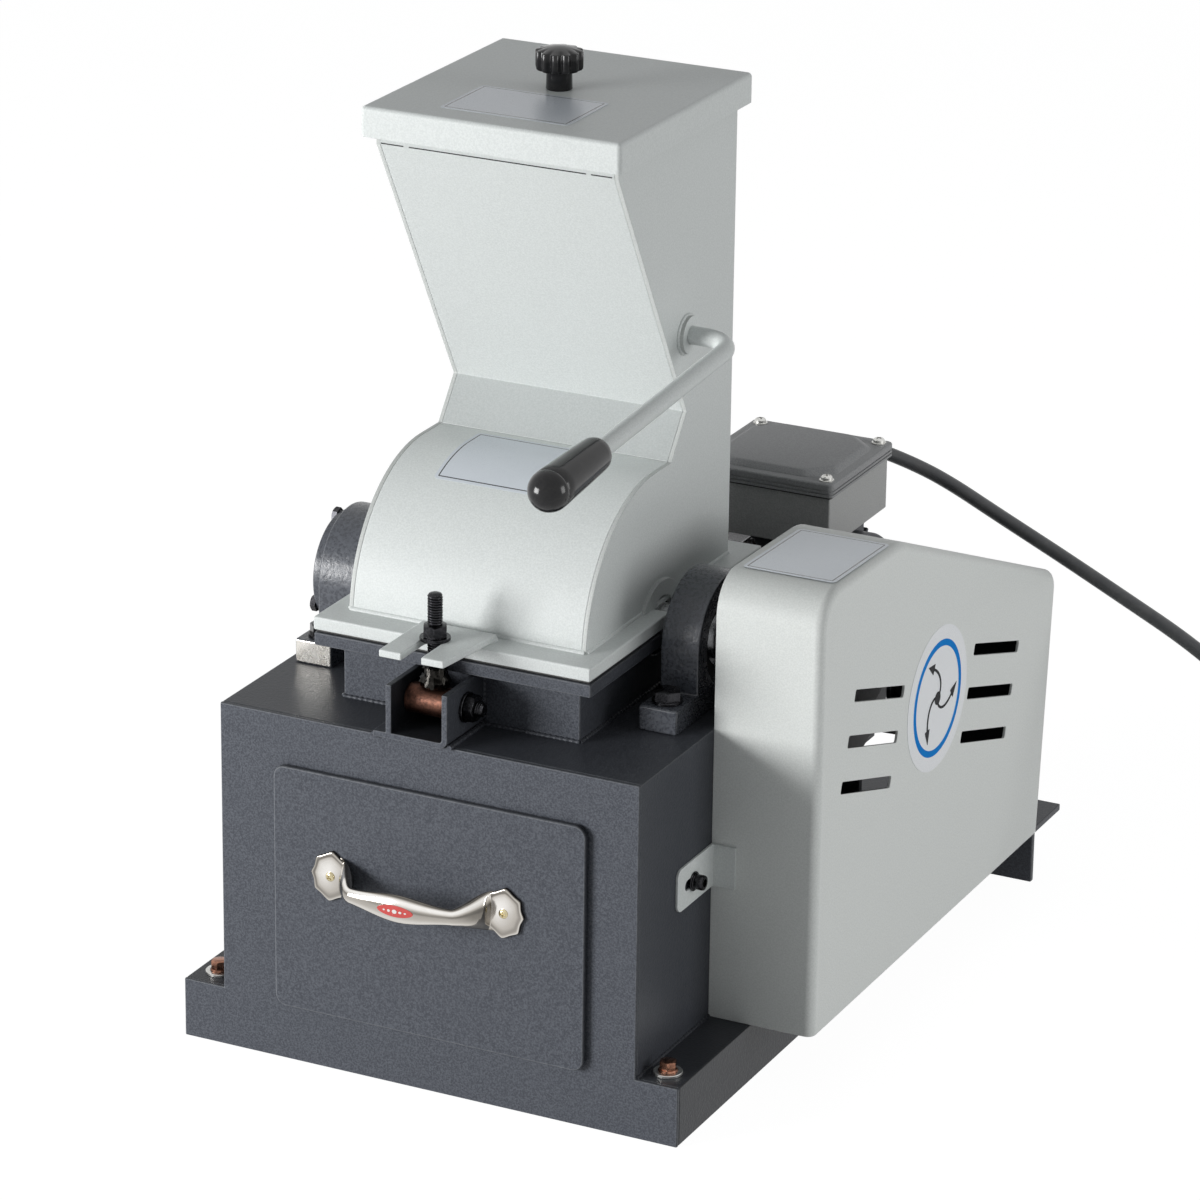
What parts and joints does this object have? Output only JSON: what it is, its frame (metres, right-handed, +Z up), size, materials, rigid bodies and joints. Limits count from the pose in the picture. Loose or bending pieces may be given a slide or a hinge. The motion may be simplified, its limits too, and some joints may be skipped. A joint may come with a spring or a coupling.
{
  "type": "laboratory hammer mill",
  "caption": "Small bench hammer mill with a slanted feed hopper, lidded top, belt drive under a sheet guard, feed lever and a sample drawer in its cabinet.",
  "frame": {"origin": "on the floor under the middle of the machine, without the mains lead", "axes": "+X to the right towards the belt guard, +Y to the back, +Z up; the drawer faces -Y"},
  "size_m": [0.892, 0.6508, 0.654],
  "materials": {
    "dark_paint": "satin hammertone",
    "light_paint": "satin hammertone",
    "motor_paint": "satin",
    "box_paint": "fine texture",
    "chrome": "polished",
    "zinc": "zinc plated",
    "copper_steel": "copper flash",
    "black_steel": "blackened, oiled",
    "steel": "machined",
    "bearing_steel": "ground",
    "cast": "machined",
    "gasket": "matt",
    "belt": "matt",
    "black_plastic": "glossy",
    "nylon": "matt",
    "cord": "matt"
  },
  "bodies": {
    "machine": {"base_frame": "dark_paint", "front_sheet": "dark_paint", "cabinet_shell": "dark_paint", "rear_rail": "dark_paint", "ledge_bolts": "copper_steel", "lower_housing": "dark_paint", "flange_gasket": "gasket", "hood_flange": "light_paint", "fork_lug": "light_paint", "hood_front_sheet": "light_paint", "side_sheet_left": "light_paint", "side_sheet_right": "light_paint", "hopper_front_sheet": "light_paint", "hopper_rear_sheet": "light_paint", "hood_hinges": "black_steel", "clamp_channel": "dark_paint", "clevis_bolt_set": "black_steel", "sieve_screen": "steel", "bearing_housing_left": "dark_paint", "bearing_housing_right": "dark_paint", "shaft_bearings": "bearing_steel", "bearing_cover_left": "dark_paint", "bearing_cover_bolts": "black_steel", "foot_bolts": "black_steel", "v_belt": "belt", "motor_frame": "motor_paint", "motor_end_shields": "motor_paint", "motor_fan_cover": "motor_paint", "motor_stand": "dark_paint", "terminal_box": "box_paint", "terminal_box_lid": "box_paint", "terminal_box_screws": "zinc", "cable_gland": "nylon", "belt_guard": "light_paint", "guard_bracket": "light_paint", "guard_screw": "black_steel", "power_cord": "cord", "cord_coil": "cord", "cord_tie": "nylon", "cord_plug": "nylon"},
    "drawer": {"drawer_tray": "zinc", "drawer_front": "dark_paint", "drawer_handle": "chrome", "drawer_handle_screws": "zinc"},
    "lid": {"hopper_lid": "light_paint", "lid_knob": "black_plastic"},
    "feed_lever": {"feed_lever_rod": "light_paint", "feed_lever_grip": "black_plastic", "feed_flap": "steel"},
    "swing_bolt": {"swing_eye": "copper_steel", "swing_stud": "black_steel"},
    "clamp_nut": {"clamp_nut": "black_steel"},
    "rotor": {"mill_shaft": "steel", "rotor_discs": "steel", "mill_pulley": "cast"},
    "hammers_1": {"hammer_row_1": "steel"},
    "hammers_2": {"hammer_row_2": "steel"},
    "hammers_3": {"hammer_row_3": "steel"},
    "motor_armature": {"motor_rotor": "steel", "motor_pulley": "cast"}
  },
  "joints": [
    {"name": "drawer_slide", "type": "slide", "parent": "machine", "child": "drawer", "axis": [0, -1, 0], "range_m": [0, 0.2]},
    {"name": "lid_lift", "type": "slide", "parent": "machine", "child": "lid", "axis": [0, 0, 1], "range_m": [0, 0.15]},
    {"name": "feed_lever_turn", "type": "hinge", "parent": "machine", "child": "feed_lever", "pos_m": [-0.022, -0.03856, 0.4715], "axis": [1, 0, 0], "range_deg": [-60, 0]},
    {"name": "swing_bolt_turn", "type": "hinge", "parent": "machine", "child": "swing_bolt", "pos_m": [-0.027, -0.21056, 0.2627], "axis": [1, 0, 0], "range_deg": [0, 48]},
    {"name": "clamp_nut_travel", "type": "slide", "parent": "swing_bolt", "child": "clamp_nut", "axis": [0, 0, 1], "range_m": [0, 0.0185]},
    {"name": "rotor_spin", "type": "hinge", "parent": "machine", "child": "rotor", "pos_m": [-0.022, -0.07206, 0.284], "axis": [1, 0, 0], "continuous": true},
    {"name": "motor_spin", "type": "hinge", "parent": "machine", "child": "motor_armature", "pos_m": [-0.022, 0.18594, 0.182], "axis": [1, 0, 0], "continuous": true},
    {"name": "hammers_1_swing", "type": "hinge", "parent": "rotor", "child": "hammers_1", "pos_m": [-0.022, -0.03569, 0.305], "axis": [1, 0, 0], "range_deg": [0, 240]},
    {"name": "hammers_2_swing", "type": "hinge", "parent": "rotor", "child": "hammers_2", "pos_m": [-0.022, -0.10843, 0.305], "axis": [1, 0, 0], "range_deg": [-240, 0]},
    {"name": "hammers_3_swing", "type": "hinge", "parent": "rotor", "child": "hammers_3", "pos_m": [-0.022, -0.07206, 0.242], "axis": [1, 0, 0], "range_deg": [-120, 120]}
  ],
  "couplings": [
    {"joint": "motor_spin", "follows": "rotor_spin", "ratio": 0.84},
    {"joint": "clamp_nut_travel", "follows": "swing_bolt_turn", "m_per_rad": 0.0215}
  ]
}
